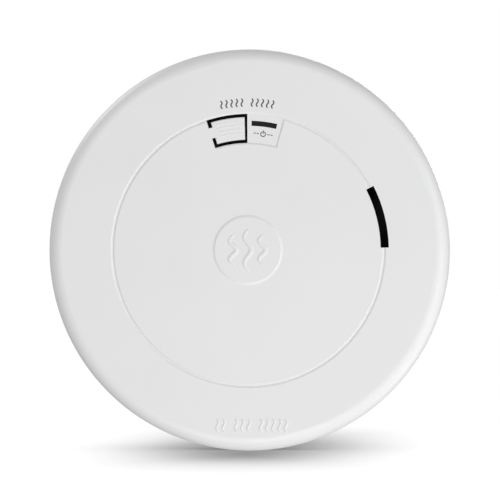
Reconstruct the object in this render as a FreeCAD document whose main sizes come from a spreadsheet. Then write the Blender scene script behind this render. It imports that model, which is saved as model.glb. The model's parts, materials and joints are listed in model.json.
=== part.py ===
"""A slim round smoke alarm on its twist-on wall bracket, as a parametric document.

The row frame has its origin at the centre of the bracket's back face, on the wall. +X is to the
right of a person who faces the alarm, +Z is up, and the room is towards -Y. Each sub-part is drawn
in a working frame of its own, whose X is right, Y is up and Z is the depth, measured from the wall
into the room. FACING turns that frame into the row frame. Lengths are in mm and angles in degrees,
counter-clockwise as seen from the room.
"""

import FreeCAD, Part
import math
import os

import Sketcher
from FreeCAD import Placement, Rotation, Vector

SIZES = {
    # the cover, the cap that the room sees
    "alarm_radius": 71.0,
    "total_depth": 34.0,
    "cover_wall": 2.2,
    "rim_round": 4.8,
    "skirt_end": 24.0,
    "lip_round": 0.8,
    "inner_round": 2.2,
    "seat_radius": 60.6,
    "seat_wall": 2.0,
    "groove_radius": 48.0,
    "groove_width": 1.4,
    "groove_depth": 0.4,
    "emblem_radius": 12.4,
    "emblem_slope": 67.0,
    "emboss": 0.35,
    # the recessed panel with the test button and the status window
    "panel_inner": 37.3,
    "panel_outer": 48.3,
    "panel_start": 74.1,
    "panel_end": 107.9,
    "panel_depth": 0.4,
    "panel_slope": 52.0,
    "cut_inner": 37.75,
    "cut_outer": 48.05,
    "cut_start": 90.25,
    "tab_inner": 38.9,
    "tab_outer": 46.9,
    "tab_start": 91.5,
    "tab_end": 106.3,
    "tab_thick": 1.8,
    "tab_round": 0.5,
    "neck_inner": 41.3,
    "neck_outer": 45.0,
    "neck_thick": 1.2,
    "post_lever": 6.0,
    "post_radius": 1.2,
    "post_end": 23.5,
    "window_inner": 43.8,
    "window_outer": 45.6,
    "window_start": 76.85,
    "window_end": 88.35,
    "window_sink": 0.25,
    "window_gap": 0.1,
    "pipe_radius": 1.6,
    "pipe_end": 22.2,
    "shield_depth": 29.8,
    "shield_wall": 0.8,
    # the sounder slot, and the sounder behind it
    "slot_inner": 46.8,
    "slot_outer": 49.7,
    "slot_start": 1.0,
    "slot_end": 27.0,
    "sounder_x": 36.0,
    "sounder_up": 8.5,
    "sounder_radius": 17.8,
    "sounder_wall": 1.2,
    "sounder_foot": 17.2,
    "disc_radius": 13.5,
    "disc_thick": 0.25,
    "disc_back": 20.75,
    "ceramic_radius": 10.0,
    "ceramic_thick": 0.2,
    "cup_back": 22.0,
    "cup_front": 30.8,
    "port_radius": 3.0,
    # the rear housing and its louvred air inlet
    "back_gap": 1.0,
    "recess_radius": 60.5,
    "back_radius": 63.0,
    "vent_radius": 66.5,
    "vent_wall": 2.5,
    "floor_back": 9.0,
    "floor_front": 11.0,
    "vent_back": 14.5,
    "vent_front": 23.0,
    "cage_top": 24.6,
    "vent_width": 3.4,
    # the screws that hold the cover to the housing
    "screw_circle": 56.0,
    "screw_angle": 52.0,
    "boss_radius": 3.4,
    "boss_end": 14.0,
    "screw_post": 4.6,
    "head_radius": 2.75,
    "head_height": 2.0,
    "head_seat": 12.4,
    "shank_radius": 1.45,
    "shank_end": 26.0,
    # the twist-on joint between the housing and the bracket
    "tab_count": 3,
    "hook_inner": 54.0,
    "hook_half_angle": 8.8,
    "hook_back": 4.3,
    "hook_thick": 2.0,
    "catch_outer": 56.6,
    "catch_half_angle": 9.0,
    "catch_back": 6.6,
    "stop_angle": 2.0,
    "ring_inner": 51.0,
    "ring_outer": 53.0,
    "ring_front": 8.0,
    # the bracket's plate
    "plate_radius": 58.0,
    "plate_thick": 2.2,
    "opening_radius": 22.0,
    "collar_wall": 1.5,
    "collar_height": 2.0,
    "rib_width": 1.2,
    "rib_height": 1.6,
    "wall_spacing": 60.0,
    "wall_slot": 8.0,
    "box_spacing": 86.1,
    "box_slot": 9.6,
    "slot_width": 4.5,
    # the circuit board and the cell beside it
    "board_radius": 49.5,
    "board_edge": -26.0,
    "board_back": 15.5,
    "board_thick": 1.6,
    "board_post": 3.2,
    "board_pilot": 1.05,
    "cell_radius": 8.5,
    "cell_length": 45.0,
    "cell_x": -36.3,
    "cell_depth": 20.5,
    # the smoke chamber
    "chamber_x": -1.0,
    "chamber_up": -20.0,
    "chamber_radius": 22.0,
    "chamber_floor": 17.2,
    "chamber_floor_top": 18.8,
    "chamber_lid": 29.6,
    "chamber_lid_top": 31.0,
    "optic_depth": 23.1,
    "optic_radius": 1.5,
    "optic_length": 5.0,
    "holder_start": 7.0,
    "holder_end": 15.5,
    "holder_width": 7.0,
    "holder_top": 27.4,
    "vane_circle": 18.8,
    "vane_length": 5.2,
    "vane_thick": 1.0,
    # the tact switch under the test button
    "tact_side": 6.0,
    "tact_height": 3.5,
    "plunger_radius": 1.75,
    "plunger_gap": 0.05,
    # the slide switch that turns the alarm on
    "slider_up": 13.0,
    "slider_travel": 3.0,
    "slider_side": 2.2,
    "slider_end": 7.6,
    "slider_switch_back": 11.5,
}

BOARD_SCREWS = ((-20.0, 38.0), (-18.0, -40.0), (38.0, -26.0))
EMITTER_ANGLE = 200.0
RECEIVER_ANGLE = 320.0
VENTS = 72
VANES = 18
SCREEN_WINDOWS = 40
RIBS = 8
FACING = Rotation(Vector(1, 0, 0), 90)
UPRIGHT = Rotation()


class Size:
    """A number together with the formula of sheet cells that gives it."""

    def __init__(self, number, formula):
        self.number = float(number)
        self.formula = formula

    def __add__(self, other):
        other = sized(other)
        return Size(self.number + other.number, f"({self.formula} + {other.formula})")

    def __sub__(self, other):
        other = sized(other)
        return Size(self.number - other.number, f"({self.formula} - {other.formula})")

    def __mul__(self, other):
        other = sized(other)
        return Size(self.number * other.number, f"({self.formula} * {other.formula})")

    def __truediv__(self, other):
        other = sized(other)
        return Size(self.number / other.number, f"({self.formula} / {other.formula})")

    def __neg__(self):
        return sized(0) - self

    def __radd__(self, other):
        return sized(other) + self

    def __rsub__(self, other):
        return sized(other) - self

    def __rmul__(self, other):
        return sized(other) * self


class Sheet:
    """The document's spreadsheet. Each of its cells is an attribute with the cell's alias."""

    def __init__(self, document):
        self.cells = document.addObject("Spreadsheet::Sheet", "Sizes")
        for row, (alias, number) in enumerate(SIZES.items(), start=1):
            self.cells.set(f"A{row}", alias.replace("_", " "))
            self.cells.set(f"B{row}", str(number))
            self.cells.setAlias(f"B{row}", alias)
        document.recompute()

    def __getattr__(self, alias):
        return Size(self.cells.get(alias), f"Sizes.{alias}")


def sized(value):
    """The value as a Size. A plain number's formula is the number itself."""
    if isinstance(value, Size):
        return value
    return Size(value, f"({value})")


def cosine(angle):
    angle = sized(angle)
    return Size(math.cos(math.radians(angle.number)), f"cos({angle.formula} * 1 deg)")


def sine(angle):
    angle = sized(angle)
    return Size(math.sin(math.radians(angle.number)), f"sin({angle.formula} * 1 deg)")


def bind(thing, path, size):
    """Ties one property of an object to the sheet."""
    thing.setExpression(path, sized(size).formula)


# Bodies, their sketches and their features


def new_body(label, x=0, up=0):
    """A body whose working frame is centred at x and up, with its Z axis into the room."""
    body = doc.addObject("PartDesign::Body", label)
    body.Label = label
    body.Placement = Placement(Vector(), FACING)
    bind(body, "Placement.Base.x", x)
    bind(body, "Placement.Base.z", up)
    return body


def origin_feature(body, role):
    return [feature for feature in body.Origin.OriginFeatures if feature.Role == role][0]


class Drawing:
    """A sketch on one of a body's origin planes, with every constraint tied to the sheet."""

    def __init__(self, body, plane, offset=0):
        self.sketch = body.newObject("Sketcher::SketchObject", f"{body.Label}_sketch")
        self.sketch.AttachmentSupport = [(origin_feature(body, plane), "")]
        self.sketch.MapMode = "FlatFace"
        bind(self.sketch, ".AttachmentOffset.Base.z", offset)

    def add(self, shape):
        return self.sketch.addGeometry(shape, False)

    def tie(self, kind, *elements):
        self.sketch.addConstraint(Sketcher.Constraint(kind, *elements))

    def fix(self, kind, *elements, size):
        """Adds a constraint with a value, and ties the value to the sheet."""
        value = sized(size).number
        value = math.radians(value) if kind == "Angle" else value
        index = self.sketch.addConstraint(Sketcher.Constraint(kind, *elements, value))
        name = f"size{index}"
        self.sketch.renameConstraint(index, name)
        bind(self.sketch, f"Constraints.{name}", size)

    def pin(self, line, end, x, y):
        """Holds one end of a line, or an arc's centre, at a place."""
        self.fix("DistanceX", -1, 1, line, end, size=x)
        self.fix("DistanceY", -1, 1, line, end, size=y)

    def polygon(self, corners):
        corners = [(sized(x), sized(y)) for x, y in corners]
        points = [Vector(x.number, y.number, 0) for x, y in corners]
        lines = []
        for start, end in zip(points, points[1:] + points[:1]):
            lines.append(self.add(Part.LineSegment(start, end)))
        for line, following in zip(lines, lines[1:] + lines[:1]):
            self.tie("Coincident", line, 2, following, 1)
        for line, (x, y) in zip(lines, corners):
            self.pin(line, 1, x, y)

    def rectangle(self, x_low, x_high, y_low, y_high):
        self.polygon([(x_low, y_low), (x_high, y_low), (x_high, y_high), (x_low, y_high)])

    def circle(self, radius, x=0, y=0):
        centre = Vector(sized(x).number, sized(y).number, 0)
        index = self.add(Part.Circle(centre, Vector(0, 0, 1), sized(radius).number))
        self.fix("Radius", index, size=radius)
        self.pin(index, 3, x, y)

    def sector(self, inner, outer, start, end):
        """The part of a ring about the origin between two angles."""
        radii = [sized(inner), sized(outer)]
        turns = [sized(start), sized(end)]
        arcs = []
        for radius in radii:
            whole = Part.Circle(Vector(), Vector(0, 0, 1), radius.number)
            limits = [math.radians(turn.number) for turn in turns]
            arcs.append(self.add(Part.ArcOfCircle(whole, *limits)))
            self.tie("Coincident", arcs[-1], 3, -1, 1)
        for end_of_arc, turn in zip((1, 2), turns):
            ends = [Vector(radius.number * cosine(turn).number,
                           radius.number * sine(turn).number, 0) for radius in radii]
            line = self.add(Part.LineSegment(*ends))
            self.tie("Coincident", arcs[0], end_of_arc, line, 1)
            self.tie("Coincident", arcs[1], end_of_arc, line, 2)
            self.tie("PointOnObject", -1, 1, line)
            self.fix("Angle", line, size=turn)
        for arc, radius in zip(arcs, radii):
            self.fix("Radius", arc, size=radius)

    def slot(self, x, y, length, width, upright=False):
        """A slot with round ends, along X or, if upright, along Y."""
        half = (length - width) / 2
        along = (sized(0), half) if upright else (half, sized(0))
        first = (x - along[0], y - along[1])
        second = (x + along[0], y + along[1])
        radius = width / 2
        turn = 180 if upright else 90
        arcs = []
        for (cx, cy), begin in ((first, turn), (second, turn + 180)):
            whole = Part.Circle(Vector(cx.number, cy.number, 0), Vector(0, 0, 1), radius.number)
            limits = (math.radians(begin), math.radians(begin + 180))
            arcs.append(self.add(Part.ArcOfCircle(whole, *limits)))
            self.pin(arcs[-1], 3, cx, cy)
        for one, other in ((0, 1), (1, 0)):
            tail = self.sketch.getPoint(arcs[one], 2)
            head = self.sketch.getPoint(arcs[other], 1)
            side = self.add(Part.LineSegment(tail, head))
            self.tie("Tangent", arcs[one], 2, side, 1)
            self.tie("Tangent", side, 2, arcs[other], 1)
        self.tie("Equal", arcs[0], arcs[1])
        self.fix("Radius", arcs[0], size=radius)


def feature(body, kind, drawing):
    made = body.newObject(f"PartDesign::{kind}", f"{body.Label}_{kind}")
    made.Profile = drawing.sketch
    drawing.sketch.Visibility = False
    return made


def turn(body, drawing, kind="Revolution"):
    """Revolves a half section about the working frame's Z axis, as solid or as a groove."""
    made = feature(body, kind, drawing)
    made.ReferenceAxis = (drawing.sketch, ["V_Axis"])
    made.Angle = 360
    doc.recompute()
    return made


def pad(body, drawing, length, slope=0):
    """Adds material from the sketch towards the room, and its sides lean in by slope degrees."""
    made = feature(body, "Pad", drawing)
    bind(made, "Length", length)
    made.TaperAngle = -sized(slope).number
    doc.recompute()
    return made


def pocket(body, drawing, length, to_room=False, both_ways=False, slope=0):
    """Cuts from the sketch towards the wall, or towards the room, or both ways."""
    before = body.Shape.Volume
    made = feature(body, "Pocket", drawing)
    bind(made, "Length", length)
    made.TaperAngle = -sized(slope).number
    made.Reversed = to_room
    made.Midplane = both_ways
    doc.recompute()
    if not body.Shape.Volume < before:
        raise RuntimeError(f"{made.Label} cut nothing")
    return made


def repeat(body, made, count):
    """Repeats a feature evenly round the working frame's Z axis."""
    pattern = body.newObject("PartDesign::PolarPattern", f"{body.Label}_pattern")
    pattern.Originals = [made]
    pattern.Axis = (origin_feature(body, "Z_Axis"), [""])
    pattern.Angle = 360
    bind(pattern, "Occurrences", count)
    body.Tip = pattern
    doc.recompute()


def rim_at(radius, depth):
    """A test for a round edge about the Z axis, by radius and depth."""

    def found(edge):
        curve = edge.Curve
        return (
            isinstance(curve, Part.Circle)
            and abs(curve.Radius - sized(radius).number) < 0.01
            and abs(curve.Center.z - sized(depth).number) < 0.01
        )

    return found


def smooth(body, radius, *tests):
    """Rounds the tip's edges that pass one of the tests."""
    tip = body.Tip
    names = []
    for number, edge in enumerate(tip.Shape.Edges, start=1):
        if any(test(edge) for test in tests):
            names.append(f"Edge{number}")
    made = body.newObject("PartDesign::Fillet", f"{body.Label}_fillet")
    made.Base = (tip, names)
    bind(made, "Radius", radius)
    doc.recompute()


# Plain solids, which already lie in the row frame


def block(name, wide, tall, deep, x, up, depth, turned=0, about=(0, 0)):
    """A box centred at x and up, whose back is at depth, after a turn about a point."""
    solid = doc.addObject("Part::Box", name)
    solid.Placement = Placement(Vector(), FACING * Rotation(Vector(0, 0, 1), sized(turned).number))
    bind(solid, "Length", wide)
    bind(solid, "Width", tall)
    bind(solid, "Height", deep)
    left = x - sized(wide) / 2
    low = up - sized(tall) / 2
    bind(solid, "Placement.Base.x", about[0] + left * cosine(turned) - low * sine(turned))
    bind(solid, "Placement.Base.y", -sized(depth))
    bind(solid, "Placement.Base.z", about[1] + left * sine(turned) + low * cosine(turned))
    return solid


def rod(name, radius, length, x, up, depth, aim=FACING):
    """A cylinder that starts at a place and points along aim's Z axis, by default to the room."""
    solid = doc.addObject("Part::Cylinder", name)
    solid.Placement = Placement(Vector(), aim)
    bind(solid, "Radius", radius)
    bind(solid, "Height", length)
    bind(solid, "Placement.Base.x", x)
    bind(solid, "Placement.Base.y", -sized(depth))
    bind(solid, "Placement.Base.z", up)
    return solid


def ball(name, radius, x, up, depth):
    solid = doc.addObject("Part::Sphere", name)
    bind(solid, "Radius", radius)
    bind(solid, "Placement.Base.x", x)
    bind(solid, "Placement.Base.y", -sized(depth))
    bind(solid, "Placement.Base.z", up)
    return solid


def joined(label, solids):
    whole = doc.addObject("Part::MultiFuse", label)
    whole.Label = label
    whole.Shapes = solids
    return whole


def cut(label, base, tools):
    """The base without the tools."""
    rest = doc.addObject("Part::Cut", label)
    rest.Label = label
    rest.Base = base
    rest.Tool = tools[0] if len(tools) == 1 else joined(f"{label}_tools", tools)
    return rest


def group(label, solids):
    """Separate solids that share one node."""
    together = doc.addObject("Part::Compound", label)
    together.Label = label
    together.Links = solids
    return together


def tube(label, outer, inner, length, x, up, depth):
    return cut(
        label,
        rod(f"{label}_outside", outer, length, x, up, depth),
        [rod(f"{label}_inside", inner, length, x, up, depth)],
    )


def windows(name, count, radius, wall, wide, back, front, about=(0, 0)):
    """Separate boxes that stand evenly round a ring's wall, to cut windows in it."""
    return group(f"{name}s", [
        block(
            f"{name}_{number}", wall + 2, wide, front - back, radius - wall / 2, sized(0), back,
            turned=360 / count * number, about=about,
        )
        for number in range(count)
    ])


# Places that more than one sub-part uses


def screw_places():
    """The four housing screws, mirrored left and right and above and below."""
    x = sheet.screw_circle * cosine(sheet.screw_angle)
    up = sheet.screw_circle * sine(sheet.screw_angle)
    return [(x, up), (-x, up), (-x, -up), (x, -up)]


def post_place():
    """Where the test button's post is: a lever's length from the middle of the hinge line."""
    middle = (sheet.neck_inner + sheet.neck_outer) / 2
    x = middle * cosine(sheet.panel_end) + sheet.post_lever * sine(sheet.panel_end)
    up = middle * sine(sheet.panel_end) - sheet.post_lever * cosine(sheet.panel_end)
    return x, up


def lamp_place():
    """The middle of the status window."""
    radius = (sheet.window_inner + sheet.window_outer) / 2
    angle = (sheet.window_start + sheet.window_end) / 2
    return radius * cosine(angle), radius * sine(angle)


def cover_inside():
    return sheet.total_depth - sheet.cover_wall


def panel_face():
    return sheet.total_depth - sheet.panel_depth


def board_front():
    return sheet.board_back + sheet.board_thick


# Sub-parts: casing


def front_cover():
    body = new_body("front_cover")
    inside = cover_inside()
    skirt_inside = sheet.alarm_radius - sheet.cover_wall
    seat_outside = sheet.seat_radius + sheet.seat_wall
    shell = Drawing(body, "XZ_Plane")
    shell.polygon([
        (0, inside),
        (sheet.seat_radius, inside),
        (sheet.seat_radius, sheet.cage_top),
        (seat_outside, sheet.cage_top),
        (seat_outside, inside),
        (skirt_inside, inside),
        (skirt_inside, sheet.skirt_end),
        (sheet.alarm_radius, sheet.skirt_end),
        (sheet.alarm_radius, sheet.total_depth),
        (0, sheet.total_depth),
    ])
    turn(body, shell)
    smooth(body, sheet.rim_round, rim_at(sheet.alarm_radius, sheet.total_depth))
    smooth(body, sheet.inner_round, rim_at(skirt_inside, inside))
    smooth(body, sheet.lip_round, rim_at(sheet.alarm_radius, sheet.skirt_end))

    bosses = Drawing(body, "XY_Plane", sheet.boss_end)
    pilots = Drawing(body, "XY_Plane", sheet.boss_end)
    for x, up in screw_places():
        bosses.circle(sheet.boss_radius, x, up)
        pilots.circle(sheet.shank_radius + 0.05, x, up)
    pad(body, bosses, inside - sheet.boss_end)
    pocket(body, pilots, sheet.shank_end - sheet.boss_end + 1, to_room=True)

    line = Drawing(body, "XZ_Plane")
    half = sheet.groove_width / 2
    line.polygon([
        (sheet.groove_radius - half, sheet.total_depth),
        (sheet.groove_radius, sheet.total_depth - sheet.groove_depth),
        (sheet.groove_radius + half, sheet.total_depth),
        (sheet.groove_radius, sheet.total_depth + sheet.groove_depth),
    ])
    turn(body, line, kind="Groove")

    panel = Drawing(body, "XY_Plane", sheet.total_depth)
    panel.sector(sheet.panel_inner, sheet.panel_outer, sheet.panel_start, sheet.panel_end)
    pocket(body, panel, sheet.panel_depth, slope=sheet.panel_slope)

    openings = Drawing(body, "XY_Plane", sheet.total_depth)
    openings.sector(sheet.cut_inner, sheet.cut_outer, sheet.cut_start, sheet.panel_end)
    openings.sector(sheet.window_inner, sheet.window_outer, sheet.window_start, sheet.window_end)
    openings.sector(sheet.slot_inner, sheet.slot_outer, sheet.slot_start, sheet.slot_end)
    pocket(body, openings, sheet.cover_wall + sheet.emboss)

    emblem = Drawing(body, "XY_Plane", sheet.total_depth)
    emblem.circle(sheet.emblem_radius)
    pad(body, emblem, sheet.emboss, slope=sheet.emblem_slope)
    return body


def rear_housing():
    body = new_body("housing_tray")
    vent_inside = sheet.vent_radius - sheet.vent_wall
    shell = Drawing(body, "XZ_Plane")
    shell.polygon([
        (0, sheet.floor_back),
        (sheet.recess_radius, sheet.floor_back),
        (sheet.recess_radius, sheet.back_gap),
        (sheet.back_radius, sheet.back_gap),
        (sheet.back_radius + 0.4, sheet.floor_back - 1),
        (sheet.vent_radius, sheet.floor_front + 1),
        (sheet.vent_radius, sheet.cage_top),
        (sheet.seat_radius - 0.2, sheet.cage_top),
        (sheet.seat_radius - 0.2, sheet.vent_front),
        (vent_inside, sheet.vent_front),
        (vent_inside, sheet.floor_front + 1.8),
        (vent_inside - 1.8, sheet.floor_front),
        (0, sheet.floor_front),
    ])
    turn(body, shell)

    hook = Drawing(body, "XY_Plane", sheet.hook_back)
    hook.sector(
        sheet.hook_inner,
        sheet.recess_radius + 0.3,
        90 - sheet.hook_half_angle,
        90 + sheet.hook_half_angle,
    )
    repeat(body, pad(body, hook, sheet.hook_thick), sheet.tab_count)

    posts = Drawing(body, "XY_Plane", sheet.floor_back)
    heads = Drawing(body, "XY_Plane", sheet.floor_back)
    shanks = Drawing(body, "XY_Plane", sheet.floor_back)
    for x, up in screw_places():
        posts.circle(sheet.screw_post, x, up)
        heads.circle(sheet.head_radius + 0.25, x, up)
        shanks.circle(sheet.shank_radius + 0.25, x, up)
    pad(body, posts, sheet.boss_end - sheet.floor_back)
    pocket(body, heads, sheet.head_seat - sheet.floor_back, to_room=True)
    pocket(body, shanks, sheet.boss_end - sheet.floor_back + 1, to_room=True)

    board_posts = Drawing(body, "XY_Plane", sheet.floor_back + 1)
    board_pilots = Drawing(body, "XY_Plane", sheet.board_back)
    for x, up in BOARD_SCREWS:
        board_posts.circle(sheet.board_post, x, up)
        board_pilots.circle(sheet.board_pilot, x, up)
    pad(body, board_posts, sheet.board_back - sheet.floor_back - 1)
    pocket(body, board_pilots, sheet.board_back - sheet.floor_front)

    saddles = Drawing(body, "XY_Plane", sheet.floor_back + 1)
    for up in (-15, 13):
        saddles.rectangle(sheet.cell_x - 9.7, sheet.cell_x + 9.3, up, up + 2)
    pad(body, saddles, 7)
    cell = Drawing(body, "XZ_Plane")
    cell.circle(sheet.cell_radius + 0.1, sheet.cell_x, sheet.cell_depth)
    pocket(body, cell, sheet.cell_length, both_ways=True)

    hatch = Drawing(body, "XY_Plane", sheet.floor_front)
    half = (sheet.slider_side + sheet.slider_travel) / 2 + 1
    hatch.rectangle(-half, half, sheet.slider_up - 2.2, sheet.slider_up + 2.2)
    pocket(body, hatch, sheet.floor_front - sheet.floor_back)

    return cut("rear_housing", body, [windows(
        "louvre", VENTS, sheet.vent_radius, sheet.vent_wall, sheet.vent_width,
        sheet.vent_back, sheet.vent_front,
    )])


def housing_screws():
    """Self-tapping screws with a cross recess, driven from the back."""
    screws = []
    for number, (x, up) in enumerate(screw_places(), start=1):
        name = f"housing_screw_{number}"
        head_back = sheet.head_seat - sheet.head_height
        head = rod(f"{name}_head", sheet.head_radius, sheet.head_height, x, up, head_back)
        shank = rod(
            f"{name}_shank",
            sheet.shank_radius,
            sheet.shank_end - sheet.head_seat + 0.5,
            x,
            up,
            sheet.head_seat - 0.5,
        )
        cross = [
            block(f"{name}_cross_a", 3.2, 0.7, 1.2, x, up, head_back),
            block(f"{name}_cross_b", 0.7, 3.2, 1.2, x, up, head_back),
        ]
        screws.append(cut(name, joined(f"{name}_body", [head, shank]), cross))
    return group("housing_screws", screws)


def rating_label():
    """A blank label in the recess, seen through the bracket's opening."""
    thick = 0.15
    return named(
        "rating_label",
        block("rating_label_sheet", 30, 14, thick, 0, -7, sheet.floor_back - thick),
    )


def named(label, solid):
    """Gives a plain solid its sub-part's name."""
    solid.Label = label
    return solid


# Sub-parts: wall bracket


def mounting_bracket():
    body = new_body("mounting_bracket")
    plate = Drawing(body, "XY_Plane")
    plate.circle(sheet.plate_radius)
    plate.circle(sheet.opening_radius)
    pad(body, plate, sheet.plate_thick)

    collar = Drawing(body, "XY_Plane")
    collar.circle(sheet.opening_radius)
    collar.circle(sheet.opening_radius + sheet.collar_wall)
    pad(body, collar, sheet.plate_thick + sheet.collar_height)

    ring = Drawing(body, "XY_Plane")
    ring.circle(sheet.ring_inner)
    ring.circle(sheet.ring_outer)
    pad(body, ring, sheet.ring_front)

    rib = Drawing(body, "XY_Plane", sheet.plate_thick)
    half = sheet.rib_width / 2
    start = sheet.opening_radius + sheet.collar_wall / 2
    turned = 22.5
    corners = [(start, -half), (sheet.ring_inner + 1, -half), (sheet.ring_inner + 1, half), (start, half)]
    rib.polygon([
        (x * cosine(turned) - y * sine(turned), x * sine(turned) + y * cosine(turned))
        for x, y in corners
    ])
    repeat(body, pad(body, rib, sheet.rib_height), RIBS)

    catch = Drawing(body, "XY_Plane", sheet.catch_back)
    low = 90 - sheet.catch_half_angle - sheet.stop_angle
    catch.sector(sheet.ring_outer - 0.5, sheet.catch_outer, low, 90 + sheet.catch_half_angle)
    repeat(body, pad(body, catch, sheet.ring_front - sheet.catch_back), sheet.tab_count)

    stop = Drawing(body, "XY_Plane", sheet.hook_back - 0.3)
    stop.sector(sheet.ring_outer - 0.5, sheet.catch_outer, low, low + sheet.stop_angle)
    repeat(body, pad(body, stop, sheet.ring_front - sheet.hook_back + 0.3), sheet.tab_count)

    slots = Drawing(body, "XY_Plane", sheet.plate_thick)
    for side in (-1, 1):
        slots.slot(sheet.wall_spacing * side / 2, sized(0), sheet.wall_slot, sheet.slot_width)
        slots.slot(sized(0), sheet.box_spacing * side / 2, sheet.box_slot, sheet.slot_width, upright=True)
    pocket(body, slots, sheet.plate_thick)
    return body


# Sub-parts: test button, status window and what is under them


def test_button():
    body = new_body("test_button")
    face = panel_face()
    tab = Drawing(body, "XY_Plane", face - sheet.tab_thick)
    tab.sector(sheet.tab_inner, sheet.tab_outer, sheet.tab_start, sheet.tab_end)
    pad(body, tab, sheet.tab_thick)

    def long_side(edge):
        level = all(abs(vertex.Point.z - face.number) < 0.01 for vertex in edge.Vertexes)
        return level and edge.Length > sheet.neck_outer.number - sheet.neck_inner.number

    smooth(body, sheet.tab_round, long_side)
    neck = Drawing(body, "XY_Plane", face - sheet.neck_thick)
    neck.sector(sheet.neck_inner, sheet.neck_outer, sheet.tab_end - 0.8, sheet.panel_end)
    pad(body, neck, sheet.neck_thick)
    post = Drawing(body, "XY_Plane", sheet.post_end)
    post.circle(sheet.post_radius, *post_place())
    pad(body, post, face - sheet.tab_thick / 2 - sheet.post_end)
    smooth(body, sheet.post_radius - 0.1, rim_at(sheet.post_radius, sheet.post_end))
    return body


def dust_shield():
    """A black tray behind the button's slot, with a hole for the button's post."""
    body = new_body("dust_shield")
    wall = sheet.shield_wall
    outside = Drawing(body, "XY_Plane", sheet.shield_depth)
    outside.sector(
        sheet.cut_inner - 1.5, sheet.cut_outer + 1.5, sheet.cut_start - 1.1, sheet.panel_end + 1.6
    )
    pad(body, outside, cover_inside() - sheet.shield_depth)
    inside = Drawing(body, "XY_Plane", cover_inside())
    inside.sector(
        sheet.cut_inner - 0.5, sheet.cut_outer + 0.5, sheet.cut_start - 0.4, sheet.panel_end + 0.5
    )
    pocket(body, inside, cover_inside() - sheet.shield_depth - wall)
    hole = Drawing(body, "XY_Plane", sheet.shield_depth + wall)
    hole.circle(sheet.post_radius + 1.1, *post_place())
    pocket(body, hole, wall)
    return body


def light_pipe():
    """A smoked bar that fills the window, on a flange and a stem that reaches to the lamp."""
    body = new_body("light_pipe")
    flange_back = cover_inside() - 1.2
    gap = sheet.window_gap
    bar = Drawing(body, "XY_Plane", flange_back)
    bar.sector(
        sheet.window_inner + gap,
        sheet.window_outer - gap,
        sheet.window_start + 0.15,
        sheet.window_end - 0.15,
    )
    pad(body, bar, panel_face() - sheet.window_sink - flange_back)
    flange = Drawing(body, "XY_Plane", flange_back)
    flange.sector(
        sheet.window_inner - 0.9, sheet.window_outer + 0.9, sheet.window_start - 1, sheet.window_end + 0.2
    )
    pad(body, flange, cover_inside() - flange_back)
    stem = Drawing(body, "XY_Plane", sheet.pipe_end)
    stem.circle(sheet.pipe_radius, *lamp_place())
    pad(body, stem, flange_back - sheet.pipe_end + 0.5)
    return body


def status_led():
    x, up = lamp_place()
    return joined("status_led", [
        rod("status_led_flange", 1.9, 0.8, x, up, board_front()),
        rod("status_led_body", 1.5, 3, x, up, board_front()),
        ball("status_led_dome", 1.5, x, up, board_front() + 3),
    ])


def tact_switch_body():
    x, up = post_place()
    case = block(
        "tact_case", sheet.tact_side, sheet.tact_side, sheet.tact_height, x, up, board_front()
    )
    well = rod("tact_well", sheet.plunger_radius + 0.1, sheet.tact_height, x, up, board_front() + 1.2)
    return cut("test_switch_body", case, [well])


def tact_switch_plunger():
    x, up = post_place()
    low = board_front() + 2
    return named(
        "test_switch_plunger",
        rod(
            "tact_plunger",
            sheet.plunger_radius,
            sheet.post_end - sheet.plunger_gap - low,
            x,
            up,
            low,
        ),
    )


# Sub-parts: circuit board and its electronics


def circuit_board():
    body = new_body("circuit_board")
    disc = Drawing(body, "XY_Plane", sheet.board_back)
    disc.circle(sheet.board_radius)
    pad(body, disc, sheet.board_thick)
    bay = Drawing(body, "XY_Plane", board_front())
    bay.rectangle(-sheet.board_radius - 5, sheet.board_edge, -sheet.board_radius, sheet.board_radius)
    pocket(body, bay, sheet.board_thick)
    holes = Drawing(body, "XY_Plane", board_front())
    for x, up in BOARD_SCREWS:
        holes.circle(sheet.board_pilot + 0.15, x, up)
    pocket(body, holes, sheet.board_thick)
    return body


def board_screws():
    screws = []
    for number, (x, up) in enumerate(BOARD_SCREWS, start=1):
        name = f"board_screw_{number}"
        head = rod(f"{name}_head", 2.1, 1.5, x, up, board_front())
        shank = rod(f"{name}_shank", 1, 5.5, x, up, board_front() - 5)
        cross = [
            block(f"{name}_cross_a", 2.4, 0.5, 1, x, up, board_front() + 0.9),
            block(f"{name}_cross_b", 0.5, 2.4, 1, x, up, board_front() + 0.9),
        ]
        screws.append(cut(name, joined(f"{name}_body", [head, shank]), cross))
    return group("board_screws", screws)


def chip(label, x, up, wide, tall, deep, legs):
    """A flat package with a row of legs above and below it."""
    solids = [block(f"{label}_package", wide, tall, deep, x, up, board_front() + 0.15)]
    pitch = 1.27
    for leg in range(legs):
        leg_x = x + (leg - (legs - 1) / 2) * pitch
        for side in (-1, 1):
            name = f"{label}_leg_{leg}_{side + 1}"
            foot_up = up + side * (tall / 2 + 0.4)
            solids.append(block(name, 0.42, 1.2, 0.7, leg_x, foot_up, board_front()))
    return joined(label, solids)


def microcontroller():
    return chip("microcontroller", 4.0, 18.0, 12.8, 7.5, 2.3, 10)


def horn_driver():
    return chip("horn_driver", 9.0, 31.0, 5.0, 3.9, 1.5, 4)


def boost_inductor():
    """A ferrite drum with a wound waist."""
    body = new_body("boost_inductor", 26, 36)
    half_section = Drawing(body, "XZ_Plane")
    low = board_front()
    half_section.polygon([
        (0, low),
        (4, low),
        (4, low + 1),
        (3.3, low + 1),
        (3.3, low + 3.6),
        (4, low + 3.6),
        (4, low + 4.6),
        (0, low + 4.6),
    ])
    turn(body, half_section)
    return body


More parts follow.
